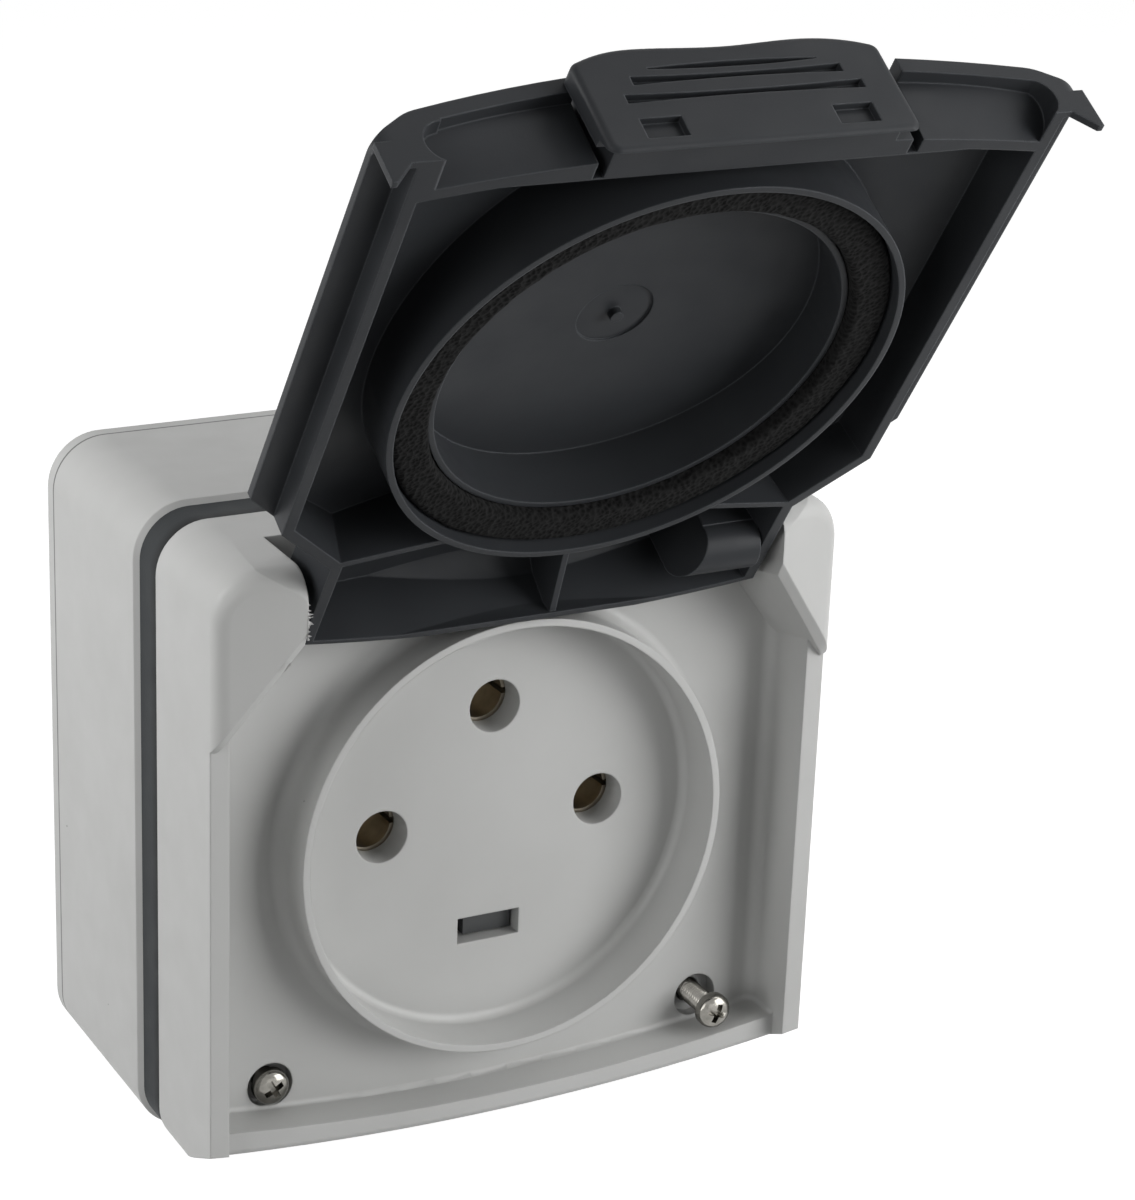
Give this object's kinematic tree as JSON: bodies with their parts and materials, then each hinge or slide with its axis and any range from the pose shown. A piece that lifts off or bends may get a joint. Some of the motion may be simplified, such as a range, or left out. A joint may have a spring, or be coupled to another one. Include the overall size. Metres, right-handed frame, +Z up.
{
  "type": "cooker socket",
  "caption": "Surface-mounted square cooker socket with a round recessed well, three pin holes, a key slot and a hinged splash lid with a foam seal and latch grip.",
  "frame": {"origin": "centre of the back box's face on the wall, level with the centre of the round well", "axes": "+Z up, -Y out of the wall towards the user, +X to the right seen from the front"},
  "size_m": [0.0836, 0.1016, 0.1485],
  "materials": {
    "pale_grey": "fine satin moulding",
    "dark_grey": "satin moulding",
    "black_plastic": "matt",
    "dark_rubber": "matt",
    "foam": "open-cell foam",
    "steel": "bright zinc",
    "brass": "turned"
  },
  "bodies": {
    "housing": {"base_box": "pale_grey", "cable_grommet": "dark_rubber", "cover_seal": "dark_rubber", "front_cover": "pale_grey", "cover_screw_left": "steel", "cover_screw_right": "steel", "screw_insert_left": "brass", "screw_insert_right": "brass", "contact_carrier": "black_plastic", "carrier_plate": "black_plastic", "carrier_screw_left": "steel", "carrier_screw_right": "steel", "contact_left": "brass", "contact_right": "brass", "contact_top": "brass", "contact_spring_left": "steel", "contact_spring_right": "steel", "contact_spring_top": "steel", "terminal_screw_left": "steel", "terminal_screw_right": "steel", "terminal_screw_top": "steel"},
    "lid": {"lid": "dark_grey", "lid_seal": "foam", "hinge_pin": "steel"}
  },
  "joints": [
    {"name": "lid_hinge", "type": "hinge", "parent": "housing", "child": "lid", "pos_m": [0, -0.0543, 0.03715], "axis": [1, 0, 0], "range_deg": [0, 146.1]}
  ]
}
